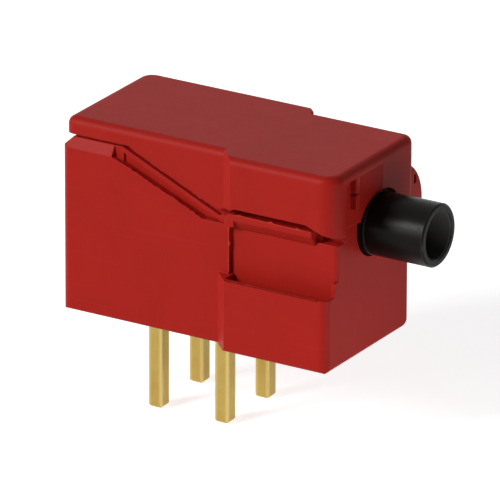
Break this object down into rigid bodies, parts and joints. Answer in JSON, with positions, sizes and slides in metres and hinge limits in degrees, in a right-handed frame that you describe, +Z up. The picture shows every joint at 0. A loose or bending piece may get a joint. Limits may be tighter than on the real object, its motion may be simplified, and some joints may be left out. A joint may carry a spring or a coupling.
{
  "type": "pushbutton switch",
  "caption": "Miniature right-angle pushbutton switch for a circuit board, with a stepped red housing, a hollow black plunger and square pins on a grid.",
  "frame": {"origin": "centre of the four-pin pattern on the base's underside", "axes": "+X out along the plunger, +Z up from the board, -Y the side with the stepped block"},
  "size_m": [0.0127, 0.0057, 0.01],
  "materials": {
    "housing": "satin moulded",
    "plunger": "satin",
    "terminal": "gold plated",
    "contact": "silver",
    "spring": "drawn wire"
  },
  "bodies": {
    "housing": {"base": "housing", "cover": "housing", "return_spring": "spring", "terminal_rear_near": "terminal", "terminal_rear_far": "terminal", "terminal_front_near": "terminal", "terminal_front_far": "terminal", "fixed_contact_rear_near": "contact", "fixed_contact_rear_far": "contact", "fixed_contact_front_near": "contact", "fixed_contact_front_far": "contact"},
    "plunger": {"plunger": "plunger", "contact_spring": "spring", "contact_bar": "terminal", "moving_contact_near": "contact", "moving_contact_far": "contact"}
  },
  "joints": [
    {"name": "press", "type": "slide", "parent": "housing", "child": "plunger", "axis": [-1, 0, 0], "range_m": [0, 0.00095], "stiffness_N_per_m": 400, "springref_m": -0.002, "deforming": ["return_spring"]}
  ]
}
